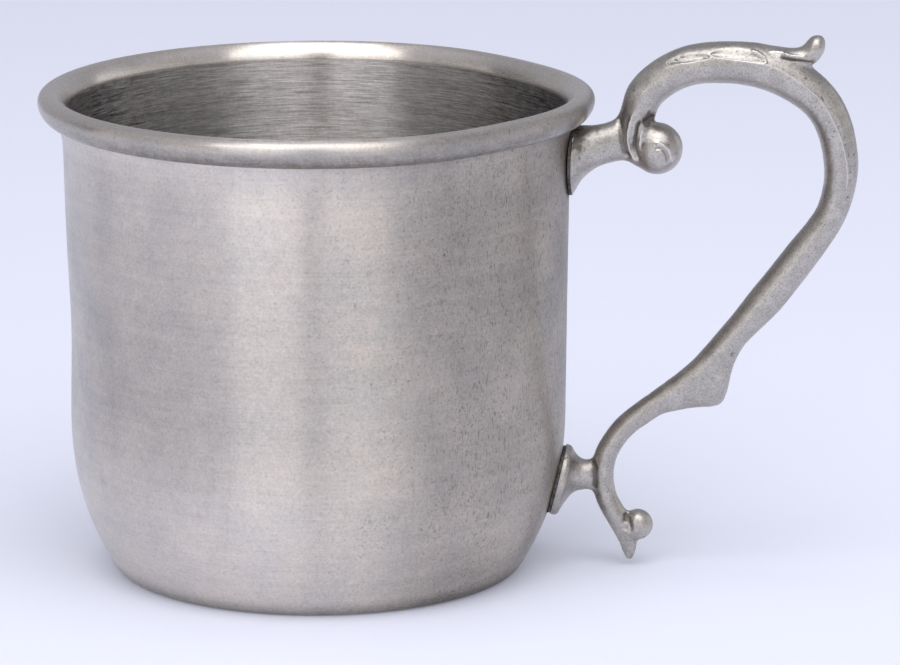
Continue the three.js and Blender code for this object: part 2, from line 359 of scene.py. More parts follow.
print("lip ends at", round(LIP_END, 2), "mm and the bead at", round(BEAD_BOTTOM, 2), "mm")

# %% Join the outline
HOLLOW_STEPS = 20
BEAD_STEPS = 64

outside = outer_points()
hollow = hollow_points(HOLLOW_STEPS)
bead = bead_points(BEAD_STEPS)
inside = inner_points(outside)
sheet_outline = outside + hollow[1:] + bead[::-1] + inside[::-1]
print("outline of", len(sheet_outline), "points")


# %% Spin the outline
SPIN_STEPS = 224
MERGE_REACH = 0.001
BEAD_FADE = (0.12, 0.46)
LIP_FADE = (0.4, 0.6)


def draw_outline(points, marks=()):
    """A chain of corners and edges, with room for marks on the corners, and the corners in order."""
    mesh = bmesh.new()
    for mark in marks:
        mesh.verts.layers.float.new(mark)
    corners = [mesh.verts.new(point) for point in points]
    for first, second in zip(corners, corners[1:]):
        mesh.edges.new((first, second))
    return mesh, corners


def spin_outline(mesh):
    """Turns an outline about the cup's axis into a closed body that points outwards."""
    shape = list(mesh.verts) + list(mesh.edges)
    axis = {"axis": (0, 0, 1), "cent": (0, 0, 0), "angle": math.tau}
    bmesh.ops.spin(mesh, geom=shape, steps=SPIN_STEPS, use_merge=True, **axis)
    bmesh.ops.remove_doubles(mesh, verts=mesh.verts, dist=MERGE_REACH)
    bmesh.ops.recalc_face_normals(mesh, faces=mesh.faces)


body, sheet_corners = draw_outline(sheet_outline, ("along", "inner", "bead", "lip"))
marks = body.verts.layers.float
bead_start = len(outside) + len(hollow) - 1
inside_start = bead_start + len(bead)
travelled = 0.0
for number, corner in enumerate(sheet_corners):
    share = (number - bead_start) / len(bead)
    on_bead = bead_start <= number < inside_start
    corner[marks["along"]] = travelled
    corner[marks["inner"]] = 1.0 if number >= inside_start else 0.0
    corner[marks["bead"]] = 1 - soft_step(share, *BEAD_FADE) if on_bead else 0.0
    corner[marks["lip"]] = soft_step(share, *LIP_FADE) if on_bead else 0.0
    if number + 1 < len(sheet_corners):
        travelled += (sheet_corners[number + 1].co - corner.co).length
spin_outline(body)
print("body of", len(body.faces), "faces")

# %% [markdown]
# ## Years of use
# A spun wall is never perfectly round again once it has been used. This rim has been squeezed a little on
# both sides of the handle, and the wall has shallow dents, the deepest on the far side from the handle, and
# a faint ripple that makes its reflections waver. Each is a small push on the finished mesh, towards the
# axis.

# %% Dents
RIM_SQUEEZE = 1.0
SQUEEZE_ANGLE = 40.0
SQUEEZE_SPREAD = 20.0
SQUEEZE_Z = (25.0, 58.0)
RIPPLE = 0.03
RIPPLE_LENGTH = 14.0
RIPPLE_START_Z = (2.0, 12.0)
RIPPLE_END_Z = (52.0, 58.0)
STILL_RADIUS = 5.0
DENTS = (
    {"angle": 180, "height": 31, "depth": 0.25, "spread": 30, "reach": 7},
    {"angle": 180, "height": 34, "depth": 0.18, "spread": 45, "reach": 16},
    {"angle": -120, "height": 40, "depth": 0.08, "spread": 14, "reach": 6},
    {"angle": -55, "height": 26, "depth": 0.07, "spread": 12, "reach": 5},
)


def push_at(place):
    """How far the sheet has been pushed towards the axis at a place."""
    angle = math.degrees(math.atan2(place.y, place.x))
    squeeze = math.exp(-(((abs(angle) - SQUEEZE_ANGLE) / SQUEEZE_SPREAD) ** 2))
    push = RIM_SQUEEZE * squeeze * soft_step(place.z, *SQUEEZE_Z)
    for dent in DENTS:
        turn = (angle - dent["angle"] + 180) % 360 - 180
        off = (turn / dent["spread"]) ** 2 + ((place.z - dent["height"]) / dent["reach"]) ** 2
        push += dent["depth"] * math.exp(-off)
    ripple = RIPPLE * (1 + noise.noise(place / RIPPLE_LENGTH)) * soft_step(place.z, *RIPPLE_START_Z)
    return push + ripple * (1 - soft_step(place.z, *RIPPLE_END_Z))


for corner in body.verts:
    reach = corner.co.xy.length
    if reach > STILL_RADIUS:
        shrink = 1 - push_at(corner.co) / reach
        corner.co.x *= shrink
        corner.co.y *= shrink
print("rim squeezed by", RIM_SQUEEZE, "mm beside the handle, and", len(DENTS), "dents")

# %% [markdown]
# ## A map that follows the spinning
# The brush lines run round the cup, so the finish needs to know, at each spot, which way is round and which
# way is up the sheet. A UV map holds that: U goes up along the sheet and V goes round it. A piece is then
# scaled to metres, shaded smooth, and handed to the frame with the node that it stands for.

# %% Map of the body
UV_SCALE = 100.0
AXIS_REACH = 0.01
SHARP_ANGLE = math.radians(60)


def map_spinning(mesh):
    """U along the sheet, V round the axis, without a jump inside any face."""
    along = mesh.verts.layers.float["along"]
    layer = mesh.loops.layers.uv.new("spinning")
    for face in mesh.faces:
        middle = face.calc_center_median()
        middle_turn = math.atan2(middle.y, middle.x)
        for loop in face.loops:
            place = loop.vert.co
            off = math.atan2(place.y, place.x) - middle_turn
            off = (off + math.pi) % math.tau - math.pi
            if place.xy.length < AXIS_REACH:
                off = 0.0
            loop[layer].uv = (loop.vert[along] / UV_SCALE, (middle_turn + off) / math.tau)


def keep_piece(mesh, name, node):
    """Makes an object of a finished mesh, in metres, in place of a node of the frame."""
    bmesh.ops.scale(mesh, verts=mesh.verts, vec=(MM, MM, MM))
    for face in mesh.faces:
        face.smooth = True
    piece = bpy.data.objects.new(name, bpy.data.meshes.new(name))
    mesh.to_mesh(piece.data)
    mesh.free()
    bpy.context.collection.objects.link(piece)
    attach(piece, "root")
    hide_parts(node)
    return piece


map_spinning(body)
body_piece = keep_piece(body, "spun_body", "cup_body")
body_piece.data.set_sharp_from_angle(angle=SHARP_ANGLE)
print("body piece of", len(body_piece.data.polygons), "faces")

# %% [markdown]
# ## The cast handle
# The handle is one casting in the shape of a long scroll. A sculptor would start from rods and balls of
# clay and smear them together, and this does the same: each rod is a ring of points that is extruded from
# station to station, then everything is fused into one skin by a fine voxel remesh and smoothed, most of
# all in the corners. Each station gives a place in the handle's plane, half the depth in that plane and
# half the width across it.

# %% Rods through oval stations
RING_SIDES = 48
RUN_STEPS = 8


def smooth_run(stations, steps=RUN_STEPS):
    """Rows on a smooth line through all the stations, with their sizes carried along."""
    rows = np.array(stations, dtype=float)
    rows = np.vstack([2 * rows[0] - rows[1], rows, 2 * rows[-1] - rows[-2]])
    gaps = np.sqrt(np.hypot(*np.diff(rows[:, :2], axis=0).T))
    knots = np.concatenate([[0.0], np.cumsum(gaps)])
    run = []
    for start in range(len(rows) - 3):
        k0, k1, k2, k3 = knots[start:start + 4]
        p0, p1, p2, p3 = rows[start:start + 4]
        for k in np.linspace(k1, k2, steps, endpoint=False):
            a1 = p0 + (p1 - p0) * (k - k0) / (k1 - k0)
            a2 = p1 + (p2 - p1) * (k - k1) / (k2 - k1)
            a3 = p2 + (p3 - p2) * (k - k2) / (k3 - k2)
            b1 = a1 + (a2 - a1) * (k - k0) / (k2 - k0)
            b2 = a2 + (a3 - a2) * (k - k1) / (k3 - k1)
            run.append(b1 + (b2 - b1) * (k - k1) / (k2 - k1))
    run.append(rows[-2])
    return np.array(run)


def oval_place(x, z, tilt, half_depth, half_width):
    """Where a unit circle goes: across the rod in the handle's plane, with its width along Y."""
    along = Vector((math.cos(tilt), 0, math.sin(tilt)))
    across = Vector((-math.sin(tilt), 0, math.cos(tilt))) * half_depth
    turn = Matrix((across, Vector((0, half_width, 0)), along)).transposed()
    return Matrix.Translation((x, 0, z)) @ turn.to_4x4()


def draw_rod(mesh, places):
    """A closed rod: the end ring is extruded and carried to the next place, again and again."""
    start = bmesh.ops.create_circle(mesh, cap_ends=True, segments=RING_SIDES, radius=1.0, matrix=places[0])
    edges = list({edge for corner in start["verts"] for edge in corner.link_edges})
    for here, there in zip(places, places[1:]):
        grown = bmesh.ops.extrude_edge_only(mesh, edges=edges)["geom"]
        ring = [item for item in grown if isinstance(item, bmesh.types.BMVert)]
        bmesh.ops.transform(mesh, matrix=there @ here.inverted(), verts=ring)
        on_ring = set(ring)
        edges = [edge for corner in ring for edge in corner.link_edges if set(edge.verts) <= on_ring]
        edges = list(set(edges))
    bmesh.ops.contextual_create(mesh, geom=edges)


print("rods have", RING_SIDES, "sides")

# %% The long bar of the scroll
BAR = (
    (41.0, 55.6, 1.8, 2.4), (40.25, 58.2, 2.3, 2.5), (41.4, 61.4, 2.4, 2.7), (45.7, 64.52, 2.52, 3.0),
    (51.2, 65.37, 2.67, 3.2), (57.5, 64.37, 2.82, 3.1), (63.75, 59.75, 2.45, 2.75), (65.9, 52.4, 2.2, 2.5),
    (64.8, 46.4, 2.0, 2.3), (61.0, 40.6, 2.2, 2.25), (56.9, 35.2, 2.25, 2.2), (53.6, 31.3, 1.95, 2.1),
    (48.7, 25.6, 1.9, 1.95), (43.8, 21.75, 1.74, 1.8), (39.8, 18.95, 1.5, 1.7), (37.75, 16.6, 1.47, 1.7),
    (36.6, 14.3, 1.5, 1.7), (36.2, 11.8, 1.52, 1.75), (36.45, 10.0, 1.47, 1.72), (37.0, 8.4, 1.42, 1.68),
    (37.95, 6.75, 1.45, 1.65), (38.9, 4.8, 1.3, 1.45), (39.6, 3.0, 1.15, 1.15), (39.7, 1.9, 0.9, 0.9),
    (39.8, 0.7, 0.4, 0.4),
)

casting = bmesh.new()
bar_run = smooth_run(BAR)
bar_slope = np.gradient(bar_run[:, :2], axis=0)
bar_tilt = np.arctan2(bar_slope[:, 1], bar_slope[:, 0])
bar_places = [
    oval_place(x, z, tilt, depth, width)
    for (x, z, depth, width), tilt in zip(bar_run, bar_tilt)
]
draw_rod(casting, bar_places)
print("bar of", len(bar_places), "rings")

# %% Arm, foot, spur and petal
ARM = (
    (31.0, 52.6, 0, 4.75, 4.3), (32.2, 52.65, 0, 4.6, 4.2), (32.6, 53.1, 2, 4.1, 3.95),
    (33.1, 53.6, 3, 3.6, 3.55), (34.0, 54.05, 4, 3.1, 3.1), (35.2, 54.5, 5, 2.7, 2.7),
    (36.5, 54.9, 5, 2.6, 2.5), (37.8, 55.4, 4, 2.8, 2.35), (39.2, 55.6, 2, 2.9, 2.2),
    (40.8, 55.7, 0, 2.8, 2.0),
)
FOOT = (
    (29.6, 11.45, -13, 4.6, 4.6), (31.25, 11.07, -13, 4.65, 4.65), (31.5, 11.0, -13, 4.45, 4.45),
    (31.8, 11.15, -13, 3.8, 3.8), (32.2, 11.4, -13, 3.2, 3.2), (32.75, 11.6, -14, 2.55, 2.5),
    (33.35, 11.75, -14, 2.15, 2.1), (34.1, 11.85, -7, 2.0, 1.95), (36.1, 11.9, 0, 1.9, 1.5),
)
SPUR = (
    (49.15, 25.15, -45, 7.45, 1.5), (49.6, 24.35, -45, 6.3, 1.75), (49.6, 24.05, -45, 5.7, 1.85),
    (49.65, 23.5, -45, 4.8, 1.9), (50.05, 23.1, -45, 3.62, 1.9), (50.45, 22.6, -45, 2.7, 1.75),
    (50.8, 22.1, -45, 1.9, 1.5), (51.05, 21.7, -45, 1.2, 1.15), (51.25, 21.5, -45, 0.6, 0.7),
    (51.35, 21.4, -45, 0.2, 0.3),
)
PETAL = (
    (51.0, 66.6, 0, 0.6, 1.2), (55.0, 66.8, 0, 1.0, 1.9), (59.0, 66.2, 0, 1.1, 2.1),
    (61.8, 66.2, 0, 1.1, 1.9),
)

for rod in (ARM, FOOT, SPUR, PETAL):
    places = [oval_place(x, z, math.radians(tilt), *half) for x, z, tilt, *half in rod]
    draw_rod(casting, places)
print("casting of", len(casting.faces), "faces before it is fused")

# %% Volute, thumb rest and ball
VOLUTE = {"place": (42.8, 0, 54.3), "half": (3.33, 3.3, 3.33), "tilt": 0}
COLLAR = {"place": (40.9, 0, 53.7), "half": (2.0, 2.3, 2.0), "tilt": 0}
THUMB_REST = {"place": (62.1, 0, 66.95), "half": (2.25, 1.9, 1.4), "tilt": 58}
BALL = {"place": (40.75, 0, 5.4), "half": (2.05, 2.05, 2.05), "tilt": 0}
LUMP_SIDES = 64
LUMP_RINGS = 32

for lump in (VOLUTE, COLLAR, THUMB_REST, BALL):
    turn = Matrix.Rotation(-math.radians(lump["tilt"]), 4, "Y")
    place = Matrix.Translation(lump["place"]) @ turn @ Matrix.Diagonal((*lump["half"], 1.0))
    sides = {"u_segments": LUMP_SIDES, "v_segments": LUMP_RINGS}
    bmesh.ops.create_uvsphere(casting, radius=1.0, matrix=place, **sides)
bmesh.ops.recalc_face_normals(casting, faces=casting.faces)
print("casting of", len(casting.faces), "faces with its lumps")

# %% Fuse the casting
VOXEL = 0.2
SMOOTH_ROUNDS = 8
SMOOTH_FACTOR = 0.5


def applied(mesh, name, modifiers):
    """The mesh with modifiers applied to it, as a new mesh."""
    holder = bpy.data.objects.new(name, bpy.data.meshes.new(name))
    mesh.to_mesh(holder.data)
    mesh.free()
    bpy.context.collection.objects.link(holder)
    for kind, settings in modifiers:
        modifier = holder.modifiers.new(kind, kind)
        for setting, value in settings.items():
            setattr(modifier, setting, value)
    result = bmesh.new()
    result.from_object(holder, bpy.context.evaluated_depsgraph_get())
    bpy.data.objects.remove(holder)
    return result


def soften(mesh, corners, rounds):
    """Smooths the given corners a number of times, in all directions."""
    axes = {"use_axis_x": True, "use_axis_y": True, "use_axis_z": True}
    for _ in range(rounds):
        bmesh.ops.smooth_vert(mesh, verts=corners, factor=SMOOTH_FACTOR, **axes)


casting = applied(casting, "clay", [("REMESH", {"mode": "VOXEL", "voxel_size": VOXEL})])
soften(casting, casting.verts, SMOOTH_ROUNDS)
print("fused casting of", len(casting.faces), "faces")

# %% Fillets
FEATHER = (1.2, 1.05, 0.9, 0.75, 0.6)
FILLETS = (
    {"place": (38.3, 59.2), "reach": 2.6, "rounds": 110},
    {"place": (39.6, 52.2), "reach": 1.8, "rounds": 60},
    {"place": (34.5, 51.2), "reach": 2.0, "rounds": 40},
    {"place": (48.3, 24.0), "reach": 3.6, "rounds": 60},
    {"place": (45.0, 20.4), "reach": 3.2, "rounds": 110},
    {"place": (48.0, 21.0), "reach": 2.2, "rounds": 50},
    {"place": (53.6, 28.3), "reach": 2.2, "rounds": 30},
    {"place": (60.2, 67.4), "reach": 1.6, "rounds": 40},
    {"place": (39.2, 7.4), "reach": 1.0, "rounds": 30},
    {"place": (34.9, 14.3), "reach": 1.0, "rounds": 20},
    {"place": (34.9, 9.6), "reach": 1.0, "rounds": 20},
)

for fillet in FILLETS:
    x, z = fillet["place"]
    for share in FEATHER:
        reach = fillet["reach"] * share
        near = [
            corner for corner in casting.verts
            if math.hypot(corner.co.x - x, corner.co.z - z) < reach
        ]
        soften(casting, near, fillet["rounds"] // len(FEATHER))
print(len(FILLETS), "fillets smoothed")

# %% [markdown]
# ## Seats on the wall
# The casting's arm and foot are filed to the curve of the wall before they are soldered. A boolean does the
# filing: the outside of the wall, grown by the thickness of the solder, is spun into a solid plug and taken
# away from the casting.

# %% File the seats
SEAM = 0.4
SEAT_MERGE = 0.01

plug_outline = [point + Vector((SEAM, 0, 0)) for point in outside if point.z > CORNER]
plug_outline = [Vector((0, 0, CORNER)), *plug_outline, Vector((0, 0, plug_outline[-1].z))]
plug_mesh, _ = draw_outline(plug_outline)
spin_outline(plug_mesh)
plug = bpy.data.objects.new("wall plug", bpy.data.meshes.new("wall plug"))
plug_mesh.to_mesh(plug.data)
plug_mesh.free()
bpy.context.collection.objects.link(plug)
filing = {"object": plug, "operation": "DIFFERENCE", "solver": "MANIFOLD"}
casting = applied(casting, "filed", [("BOOLEAN", filing)])
bpy.data.objects.remove(plug)
bmesh.ops.remove_doubles(casting, verts=casting.verts, dist=SEAT_MERGE)
print("filed casting of", len(casting.faces), "faces")

# %% [markdown]
# ## Carving
# The ornament is shallow: leaf-shaped hollows on the top of the bar, a fine ridge round the bow, and the
# grooves of the volute and of the lower curl. Each is drawn as a line in the side view and pushed in or out
# along the surface on both flanks, with a soft edge, as a chaser's punch would do it. The mesh is first
# made finer under the lines. Where the metal is pushed in, the finish later leaves it dark, so each stroke
# also writes how deep it is. The outer side of the ridge stays dull and darker, which also paints shade over
# its reflection, and the round ends are rubbed bright. Two crevices keep a stain, the neck's crease takes
# painted shade with its stain, and the arm's top under the rim is darkened as the rim's painted shadow.

# %% Lines of the ornament
FIRST_LEAF = ((44.0, 65.6), (45.6, 66.1), (46.9, 66.35), (48.1, 66.5), (49.2, 66.6))
SECOND_LEAF = ((49.5, 66.9), (51.2, 66.95), (53.1, 66.85), (54.9, 66.6), (56.4, 66.2))
FIRST_LEAF_LIP = ((44.3, 65.6), (45.9, 65.65), (47.9, 65.9))
SECOND_LEAF_END = ((54.3, 67.3), (55.3, 67.0), (56.1, 66.45), (56.35, 65.95), (55.8, 65.65))
RIDGE = (
    (49.6, 66.4), (51.8, 66.2), (54.3, 65.9), (56.4, 65.6), (58.1, 64.9), (59.9, 63.8),
    (61.3, 62.8), (62.7, 61.7), (63.6, 60.6), (64.4, 59.3), (65.1, 57.9), (65.7, 56.5),
    (66.2, 54.8), (66.5, 53.5), (66.7, 51.6), (66.6, 49.6), (66.2, 47.6),
)
TICK = ((56.4, 64.7), (57.2, 65.4))
PETAL_EDGE = ((56.5, 67.1), (57.4, 67.1), (58.3, 67.0), (59.3, 66.6), (60.5, 66.5), (61.4, 66.3))
PETAL_CREASE = ((58.0, 66.6), (58.8, 66.4), (59.9, 66.1), (61.2, 65.8), (62.4, 65.5))
ARM_GROOVE = ((37.9, 59.0), (38.1, 57.8), (38.4, 56.7), (38.5, 55.5), (38.8, 54.1), (39.4, 53.1))
BAND_LIP = (
    (39.9, 59.4), (39.4, 58.0), (39.15, 56.7), (39.15, 55.7), (39.4, 54.4), (39.9, 53.2), (40.6, 52.5),
)
BAND_GROOVE = ((40.8, 58.6), (40.3, 57.5), (40.0, 56.1), (40.0, 54.9), (40.25, 53.8), (40.8, 52.9))
SECOND_LINE = ((41.2, 57.3), (40.8, 56.3), (40.6, 55.3), (40.65, 54.3))
CRESCENT = (
    (42.2, 55.3), (42.6, 55.55), (43.0, 55.6), (43.7, 55.3), (44.4, 54.7), (44.7, 53.7), (44.6, 52.8),
)
CRESCENT_INNER = ((42.4, 54.7), (43.0, 54.95), (43.5, 54.9), (44.0, 54.4), (44.25, 53.6), (44.2, 52.8))
TOP_CREVICE = ((41.2, 57.8), (41.8, 58.1), (42.6, 58.5))
NECK_CREASE = ((34.8, 14.3), (35.3, 13.2), (35.4, 11.5), (35.2, 10.0))
BALL_CREASE = ((39.4, 7.6), (39.6, 6.6), (39.8, 5.6), (40.0, 4.8))
BALL_FOLD = ((39.1, 7.2), (39.2, 6.6), (39.25, 5.9))
BALL_LIP = ((38.7, 5.2), (39.3, 4.8), (39.9, 4.65))
TIP_CREASE = ((39.0, 3.6), (40.1, 3.4), (41.2, 3.5))
FINE_LINES = (
    FIRST_LEAF, FIRST_LEAF_LIP, SECOND_LEAF, SECOND_LEAF_END, RIDGE, TICK, PETAL_EDGE, PETAL_CREASE,
    ARM_GROOVE, BAND_LIP, BAND_GROOVE, SECOND_LINE, CRESCENT, CRESCENT_INNER, TOP_CREVICE,
    BALL_CREASE, BALL_FOLD, BALL_LIP,
)


def near_line(places, line):
    """How far each place is from a line in the side view, how far along it, 0 to 1, and on which side."""
    spots = places[:, (0, 2)]
    knots = np.array(line, dtype=float)
    lengths = np.hypot(*np.diff(knots, axis=0).T)
    starts = np.concatenate([[0.0], np.cumsum(lengths)])
    distance = np.full(len(spots), np.inf)
    along = np.zeros(len(spots))
    side = np.zeros(len(spots))
    for first, second, length, start in zip(knots, knots[1:], lengths, starts):
        step = (second - first) / length
        away = spots - first
        part = np.clip(away @ step, 0.0, length)
        off = np.hypot(*(away - part[:, None] * step).T)
        closer = off < distance
        distance[closer] = off[closer]
        along[closer] = (start + part[closer]) / starts[-1]
        side[closer] = np.sign(step[0] * away[closer, 1] - step[1] * away[closer, 0])
    return distance, along, side


print(len(FINE_LINES), "fine lines")

# %% Finer mesh under the lines
FINE_REACH = 0.5
FINE_SMOOTH = 0.6
QUAD = 4

places = np.array([corner.co for corner in casting.verts])
closest = np.min([near_line(places, line)[0] for line in FINE_LINES], axis=0)
casting.verts.index_update()
fine_edges = [
    edge for edge in casting.edges
    if max(closest[edge.verts[0].index], closest[edge.verts[1].index]) < FINE_REACH
]
bmesh.ops.subdivide_edges(casting, edges=fine_edges, cuts=1, use_grid_fill=True, smooth=FINE_SMOOTH)
bmesh.ops.triangulate(casting, faces=[face for face in casting.faces if len(face.verts) > QUAD])
casting.normal_update()
print("casting of", len(casting.faces), "faces with finer strips")

# %% Carving tools
UNEVEN_LENGTH = 0.6
POLISH = 0.45
RUBBED = (0.95, 1.15)
FLANK = (0.12, 0.5)
LEAF_TIP = 0.02
LEAF_POWER = 1.5
LEAF_PITS = (0.15, 0.45)
BAND_START = (0.05, 0.4)
BAND_SOFTNESS = 0.6
BAND_FADE = (0.2, 0.5)
PIT_OFFSET = 0.3
PIT_SPREAD = 0.2
PIT_STAIN = 0.6
RIDGE_PITS = (0.15, 0.4)

places = np.array([corner.co for corner in casting.verts])
facing = np.array([corner.normal for corner in casting.verts])
flank = soft_step(np.abs(facing[:, 1]), *FLANK)
uneven = np.array([noise.noise(corner.co / UNEVEN_LENGTH) for corner in casting.verts])
lift = np.zeros(len(places))
recess_and_shade = np.zeros(len(places))


def carve(line, half_width, height, stain=None, fade=0.15):
    """A groove or a ridge along a line, fading out at both ends, and the stain it takes."""
    distance, along, _ = near_line(places, line)
    weight = np.exp(-((distance / half_width) ** 2)) * flank
    weight = weight * soft_step(along, 0.0, fade) * (1 - soft_step(along, 1.0 - fade, 1.0))
    lift[:] += weight * height
    recess_and_shade[:] += weight * (np.sign(-height) if stain is None else stain)


def hollow_leaf(line, half_height, depth, pitted):
    """A pointed hollow along a line, with some pits in it."""
    distance, along, _ = near_line(places, line)
    reach = half_height * np.sqrt(np.clip(1 - (2 * along - 1) ** 2, LEAF_TIP, 1.0))
    bowl = np.clip(1 - (distance / reach) ** 2, 0.0, 1.0) ** LEAF_POWER * flank
    lift[:] -= depth * bowl
    recess_and_shade[:] += bowl * pitted * soft_step(uneven, *LEAF_PITS)


def dull_outside(line, width, stain):
    """Leaves a band on the outer side of a line unpolished and darker, as painted shade over its reflection,
    with small pits next to the line.
    """
    distance, along, side = near_line(places, line)
    outward = side * distance
    band = soft_step(outward, *BAND_START) * (1 - soft_step(distance, width, width + BAND_SOFTNESS))
    near = np.exp(-(((outward - PIT_OFFSET) / PIT_SPREAD) ** 2))
    pits = near * soft_step(uneven, *RIDGE_PITS)
    recess_and_shade[:] += (stain * band + PIT_STAIN * pits) * soft_step(along, *BAND_FADE)


def darken_round(place, reach, depth):
    """Darkens the colour round a place in the side view, on both flanks: tarnish in a crevice, and the rim's
    painted shadow on the arm.
    """
    off = np.hypot(places[:, 0] - place[0], places[:, 2] - place[1])
    recess_and_shade[:] += depth * (1 - soft_step(off, 0.0, reach)) * (1 + uneven)


def polish_lump(lump):
    """Rubs a round end of the casting bright."""
    off = np.linalg.norm((places - np.array(lump["place"])) / np.array(lump["half"]), axis=1)
    recess_and_shade[:] -= POLISH * (1 - soft_step(off, *RUBBED))


print("carving", len(places), "spots")

# %% Carve the bow
hollow_leaf(FIRST_LEAF, half_height=0.6, depth=0.2, pitted=1.2)
hollow_leaf(SECOND_LEAF, half_height=0.75, depth=0.22, pitted=0.3)
carve(FIRST_LEAF_LIP, half_width=0.15, height=0.07)
carve(SECOND_LEAF_END, half_width=0.16, height=0.14)
carve(RIDGE, half_width=0.12, height=0.1, fade=0.12)
dull_outside(RIDGE, width=1.6, stain=0.25)
carve(TICK, half_width=0.12, height=0.06)
carve(PETAL_EDGE, half_width=0.16, height=0.12)
carve(PETAL_CREASE, half_width=0.2, height=-0.3, stain=1.2)
print("deepest cut so far", round(float(-lift.min()), 2), "mm")

# %% Carve the volute and the curls
# The first darkens the arm's top under the rim as the rim's painted shadow; the other two are tarnish in
# crevices.
STAINS_AND_RIM_SHADOW = (
    {"place": (32.4, 56.0), "reach": 3.2, "depth": 1.0},
    {"place": (41.8, 58.4), "reach": 1.8, "depth": 1.3},
    {"place": (39.3, 6.4), "reach": 1.2, "depth": 0.5},
)

carve(ARM_GROOVE, half_width=0.34, height=-0.3, stain=0.8)
carve(BAND_LIP, half_width=0.2, height=0.18)
carve(BAND_GROOVE, half_width=0.22, height=-0.3, stain=1.1)
carve(SECOND_LINE, half_width=0.16, height=0.1)
carve(CRESCENT, half_width=0.24, height=0.15)
carve(CRESCENT_INNER, half_width=0.2, height=-0.2, stain=0.9)
carve(TOP_CREVICE, half_width=0.45, height=-0.35, stain=1.0, fade=0.05)
# The neck crease's stain is tarnish, and painted shade where the neck meets the bar.
carve(NECK_CREASE, half_width=0.34, height=-0.2, stain=1.3)
carve(BALL_CREASE, half_width=0.3, height=-0.2, stain=0.9)
carve(BALL_FOLD, half_width=0.24, height=-0.12, stain=0.5)
carve(BALL_LIP, half_width=0.2, height=0.1)
carve(TIP_CREASE, half_width=0.18, height=-0.08, stain=0.6)
for lump in (VOLUTE, THUMB_REST, BALL):
    polish_lump(lump)
for stain in STAINS_AND_RIM_SHADOW:
    darken_round(**stain)
print("deepest cut", round(float(-lift.min()), 2), "mm")

# %% The cast skin
LUMP = 0.05
LUMP_LENGTH = 3.2
GRAIN = 0.015
GRAIN_LENGTH = 0.55


def cast_skin(place):
    """The slow unevenness of a polished casting, and its fine grain."""
    return LUMP * noise.noise(place / LUMP_LENGTH) + GRAIN * noise.noise(place / GRAIN_LENGTH)


recess_and_shade_layer = casting.verts.layers.float.new("recess_and_shade")
for corner, push, deep in zip(casting.verts, lift, recess_and_shade):
    corner[recess_and_shade_layer] = deep
    corner.co += corner.normal * (push + cast_skin(corner.co) - LUMP)
handle_piece = keep_piece(casting, "cast_handle", "handle")
handle_piece.data.set_sharp_from_angle(angle=SHARP_ANGLE)
handle_piece.data.calc_loop_triangles()
print("handle piece of", len(handle_piece.data.loop_triangles), "triangles")

# %% [markdown]
# ## Solder
# A thin layer of solder fills each seat and shows as a dark line round it. Each is an oval disc. Its edge
# is laid against the wall, and a copy of it is carried out to the seat.

# %% Two seams
SEAM_SIDES = 64
SOLDER_SHARP_ANGLE = math.radians(50)
CLEARANCE = 0.02
SEATS = (
    {"name": "arm_solder", "node": "upper_solder", "place": (32.0, 52.8, 0), "half": (4.55, 4.1)},
    {"name": "foot_solder", "node": "lower_solder", "place": (30.55, 11.2, -13), "half": (4.4, 4.4)},
)


def lay_on_wall(corner, gap):
    """Moves a corner straight out from the axis to a gap from the wall."""
    reach = (wall_radius(corner.co.z) + gap) / corner.co.xy.length
    corner.co.x *= reach
    corner.co.y *= reach


def solder_layer(place, half):
    """A thin oval pad between the wall and a seat."""
    mesh = bmesh.new()
    x, z, tilt = place
    bmesh.ops.create_circle(mesh, cap_ends=True, segments=SEAM_SIDES, radius=1.0)
    bmesh.ops.transform(mesh, matrix=oval_place(x, z, math.radians(tilt), *half), verts=mesh.verts)
    inner = list(mesh.verts)
    outer = bmesh.ops.extrude_face_region(mesh, geom=list(mesh.faces), use_keep_orig=True)["geom"]
    for corner in inner:
        lay_on_wall(corner, CLEARANCE)
    for corner in outer:
        if isinstance(corner, bmesh.types.BMVert):
            lay_on_wall(corner, SEAM - CLEARANCE)
    bmesh.ops.triangulate(mesh, faces=[face for face in mesh.faces if len(face.verts) > QUAD])
    bmesh.ops.recalc_face_normals(mesh, faces=mesh.faces)
    return mesh


solder_pieces = []
for seat in SEATS:
    layer = solder_layer(seat["place"], seat["half"])
    piece = keep_piece(layer, seat["name"], seat["node"])
    piece.data.set_sharp_from_angle(angle=SOLDER_SHARP_ANGLE)
    solder_pieces.append(piece)
    print(seat["name"], len(piece.data.polygons), "faces")

# %% [markdown]
# ## Spun pewter
# The sheet keeps the fine lines that the spinner's tool and the polishing cloth left as it turned. Such a
# surface mirrors sharply along the lines and blurs strongly across them, which the shader's anisotropy does:
# its tangent follows the map's U, up the sheet, so the blur goes up and down. Single lines, faint clouds,
# specks of tarnish, short strokes and thin scratches come from noise that is stretched in the right
# direction, at its real size. The side towards the handle, where a hand holds the cup, is rougher and has
# more specks, and painted shade darkens its wall. The inside is painted lighter than the outside, with
# painted shade at its left and right ends. Away from the handle the outer wall has painted light low down
# and under the bead, and painted shade round its middle; painted shade also darkens the bottom edge. The
# bead's face has painted shade with a mottle of tarnish, and the lip is polished by use and painted lighter
# as a painted highlight.

# %% Lines and clouds of the sheet
SPUN_WARM = (0.615, 0.56, 0.505, 1.0)
SPUN_COOL = (0.578, 0.54, 0.503, 1.0)
SPUN_INSIDE_PAINTED_LIGHTER = (0.70, 0.67, 0.655, 1.0)
CLOUD_ROUGHNESS = 0.6
LINE_ROUGHNESS = 0.65
CLOUD_RANGE = (0.35, 0.65)

spun, tree, shader = new_finish("spun pewter")


